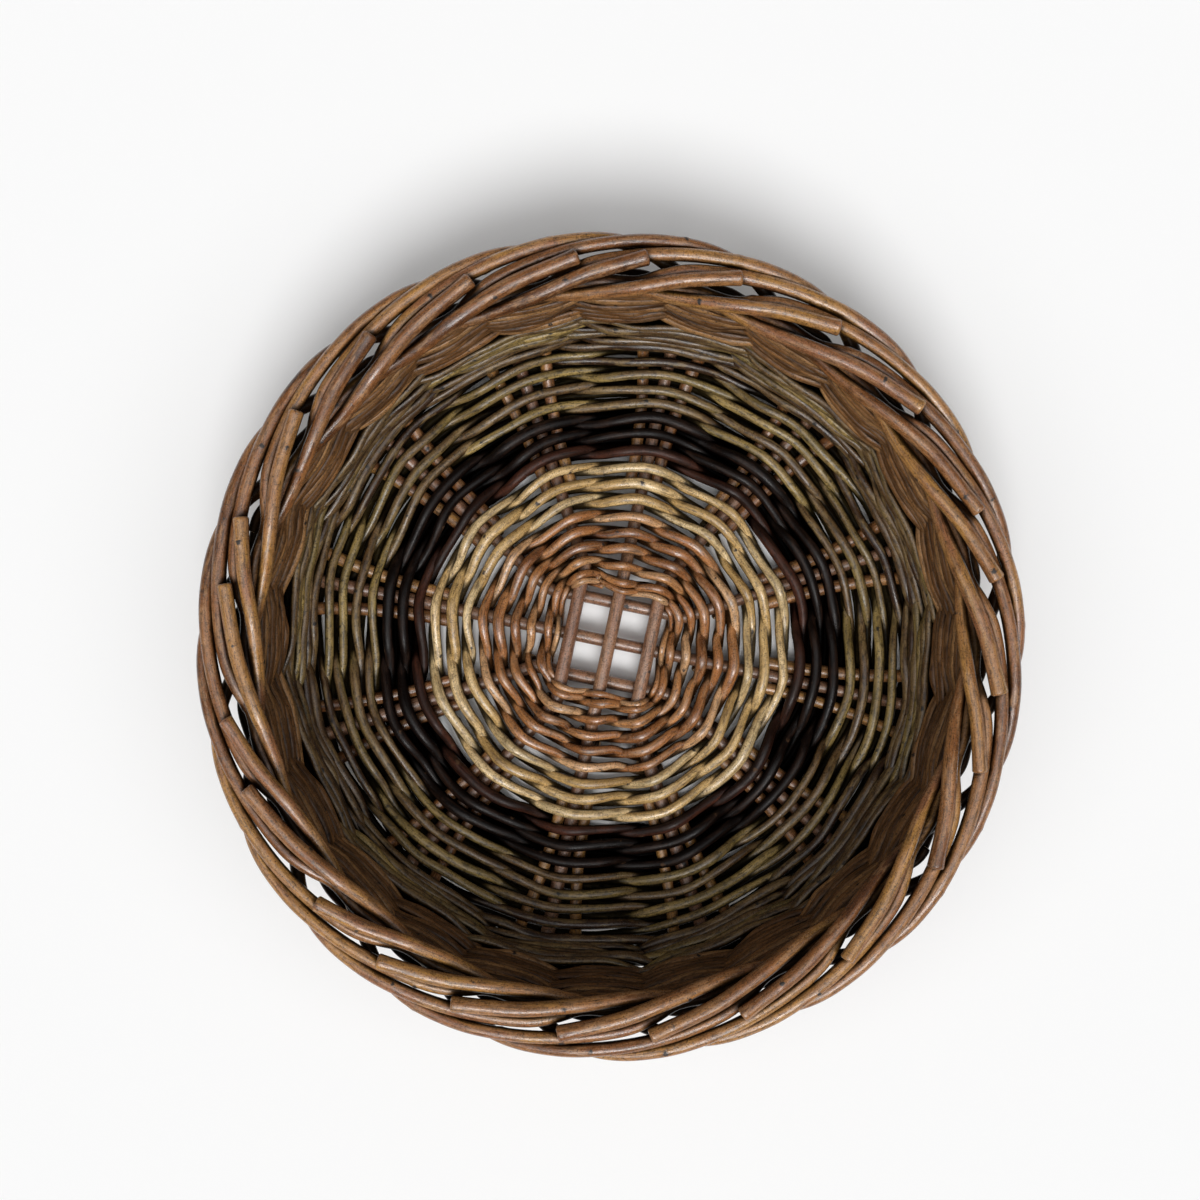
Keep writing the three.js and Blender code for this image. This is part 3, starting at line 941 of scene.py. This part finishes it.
# Two rods twisted round one another along a row, one inside and one outside at every spoke
def twined_pair(rods, rng, row_along, squareness, weave, style):
    start_spoke = rng.integers(weave["spokes"])
    for strand in range(2):
        first = start_spoke + strand * (1 + 2 * rng.integers(weave["spokes"] // 3))
        twined_rod(rods, rng, row_along, squareness, weave, style, first)


# A rod laid round outside all the spokes, in the gap next to a row
def under_rod(rods, rng, row_along, weave, style):
    radius, _, slope = profile(row_along)
    start = rng.uniform(0, TURN)
    angle = np.linspace(start, start + TURN, int(TURN * radius / STATION_STEP))
    length = (angle - start) * radius
    thick = (1 - UNDER_ROD_THINNER) * style["diameter"] / 2
    drift = strayed(angle, row_along, style["drift"]) + wander(rng, length, LOOSE_WAVE, style["loose"])
    outside = weave["spoke"] / 2 + thick
    # On the slope it lies lower, straight below the gap
    place = row_along + weave["pitch"] / 2 - outside * np.tan(slope) + drift
    route = on_basket(place, angle, off_floor(place, -outside, thick))
    girth = thick * (1 + wander(rng, length, SWELL_WAVE, WEAVER_SWELL))
    tint = weaver_tint(rng, style)
    rods.add(rng, route, girth, WEAVER_SIDES, tint, style["bud_spacing"], style["bud_height"])


# One woven row. The first one also has a thinner pair that ties the grid, dark and low olive rows have a rod
# outside the spokes, and rows on the steep wall have a second pair above the first.
def woven_row(name, number, row_along, weave, style, bark_name):
    rng = np.random.default_rng(WEAVE_SEED + number)
    rods = Bundle()
    grid_share = (outer_stick / row_along) ** 2 - (outer_stick / straw_start) ** 2
    thin = 1 - FIRST_ROWS_THINNER * max(1 - number / THIN_ROWS, 0)
    own_style = dict(style, diameter=thin * style["diameter"])
    twined_pair(rods, rng, row_along, ROW_SQUARENESS * max(grid_share, 0), weave, own_style)
    if number == 0:
        tie = dict(style, diameter=TIE_DIAMETER, tautness=0, drift=TIE_DRIFT, loose=TIE_LOOSE)
        twined_pair(rods, rng, TIE_ALONG, TIE_SQUARENESS, weave, tie)
    if row_along > lower_bend_end:
        second = dict(style, diameter=(1 - WALL_PAIR_THINNER) * style["diameter"])
        twined_pair(rods, rng, row_along + weave["pitch"] / 2, 0, weave, second)
    elif row_along > dark_start:
        under_rod(rods, rng, row_along, weave, style)
    bundles.append((rods, f"{name}_weave", name, bark_name))


# How each band is woven: how flat its rods lie across a spoke (flatness), how far the two rods of a row part
# sideways (lean) and up and down (twist) between spokes, how much thinner they are there (pinch), how
# straight they run (tautness), how far whole rows (drift) and single rods (loose) stray, how unevenly they
# swing (uneven), and their usual tint, its spread and their buds
bands = [
    ("brown", BROWN_ROWS, base_weaving, dict(
        diameter=5.8 * MM, flatness=0.6, lean=0.5, twist=0.68, pinch=0.16, tautness=0.62,
        drift=0.9 * MM, loose=0.6 * MM, uneven=0.12,
        tint=0.5, tint_spread=0.25, bud_spacing=48 * MM, bud_height=0.3 * MM,
    )),
    ("straw", STRAW_ROWS, base_weaving, dict(
        diameter=5.9 * MM, flatness=0.7, lean=0.55, twist=0.66, pinch=0.16, tautness=0.52,
        drift=1.2 * MM, loose=1.0 * MM, uneven=0.14,
        tint=0.5, tint_spread=0.33, bud_spacing=30 * MM, bud_height=0.45 * MM,
    )),
    ("dark", DARK_ROWS, base_weaving, dict(
        diameter=6.2 * MM, flatness=1.4, lean=0.66, twist=0.74, pinch=0.12, tautness=0.35,
        drift=1.4 * MM, loose=1.1 * MM, uneven=0.15,
        tint=0.35, tint_spread=0.28, bud_spacing=40 * MM, bud_height=0.35 * MM,
    )),
    ("olive", OLIVE_ROWS, base_weaving, dict(
        diameter=5.1 * MM, flatness=1.5, lean=0.66, twist=0.74, pinch=0.1, tautness=0.45,
        drift=1.6 * MM, loose=1.2 * MM, uneven=0.15,
        tint=0.5, tint_spread=0.36, bud_spacing=34 * MM, bud_height=0.35 * MM,
    )),
    ("upper", UPPER_ROWS, upper_weaving, dict(
        diameter=4.7 * MM, flatness=0.3, lean=0.5, twist=0.86, pinch=0.1, tautness=0.6,
        drift=0.9 * MM, loose=0.7 * MM, uneven=0.12,
        tint=0.5, tint_spread=0.3, bud_spacing=44 * MM, bud_height=0.25 * MM,
    )),
]

# Base, stakes and weave
for i in range(GRID_STICKS):
    base_stick(f"lower_stick_{i + 1}", 2 * i, GRID_TURN, i - outer_column, -1)
    base_stick(f"upper_stick_{i + 1}", 2 * i + 1, GRID_TURN + TURN / 4, i - outer_column, 1)
for i in range(STAKES):
    stake(f"stake_{i + 1}", i)
row_start = brown_start
rows_woven = 0
for band, rows, weave, style in bands:
    for i in range(rows):
        spread = UPPER_SPREAD * (i + 0.5) if weave is upper_weaving else 0
        row_along = row_start + weave["pitch"] / 2 + spread
        woven_row(f"{band}_row_{i + 1}", rows_woven, row_along, weave, style, band)
        row_start += weave["pitch"]
        rows_woven += 1

# All pieces, once it is known how they crowd one another, which sets the shade painted on them
crowding = Crowding([rods for rods, _, _, _ in bundles])
for rods, name, node, bark_name in bundles:
    rods.piece(name, node, barks[bark_name], f"{bark_name}_bark", crowding)

# A plain pale floor
floor_mesh = bpy.data.meshes.new("floor")
floor_corners = [(x * FLOOR_REACH, y * FLOOR_REACH, 0) for x, y in ((-1, -1), (1, -1), (1, 1), (-1, 1))]
floor_mesh.from_pydata(floor_corners, [], [(0, 1, 2, 3)])
floor = bpy.data.objects.new("floor", floor_mesh)
bpy.context.scene.collection.objects.link(floor)
paper = Nodes("pale_floor")
paper.shader.inputs["Base Color"].default_value = (FLOOR_TONE, FLOOR_TONE, FLOOR_TONE, 1)
paper.shader.inputs["Roughness"].default_value = 0.9
paper.shader.inputs["Specular IOR Level"].default_value = 0.1
floor_mesh.materials.append(paper.material)


# A lamp far away, with its width, its height above the horizon and its turn to the side in degrees
def sun(name, energy, width, elevation, turn):
    lamp = bpy.data.lights.new(name, "SUN")
    lamp.energy = energy
    lamp.angle = math.radians(width)
    placed = bpy.data.objects.new(name, lamp)
    placed.rotation_euler = (math.radians(90 - elevation), 0, math.radians(turn))
    bpy.context.scene.collection.objects.link(placed)


# One lamp from the front, and a wider, softer one from either side of it
sun("key", energy=1.78, width=26, elevation=58, turn=0)
sun("left_fill", energy=0.81, width=60, elevation=64, turn=-62)
sun("right_fill", energy=0.81, width=60, elevation=64, turn=62)

# A weak even light from all round, which the camera sees as white
world = bpy.data.worlds.new("studio")
bpy.context.scene.world = world
world.use_nodes = True
background = world.node_tree.nodes["Background"]
path = world.node_tree.nodes.new("ShaderNodeLightPath")
level = world.node_tree.nodes.new("ShaderNodeMapRange")
world.node_tree.links.new(path.outputs["Is Camera Ray"], level.inputs["Value"])
level.inputs["To Min"].default_value = AMBIENT
level.inputs["To Max"].default_value = 1
world.node_tree.links.new(level.outputs["Result"], background.inputs["Strength"])
background.inputs["Color"].default_value = (1, 1, 1, 1)

# Straight down, a little beyond the middle of the basket
camera = bpy.data.cameras.new("camera")
camera.lens = CAMERA_LENS
camera.sensor_width = CAMERA_SENSOR
camera_object = bpy.data.objects.new("camera", camera)
camera_object.location = CAMERA_PLACE
bpy.context.scene.collection.objects.link(camera_object)
bpy.context.scene.camera = camera_object
bpy.context.scene.view_settings.view_transform = "Standard"
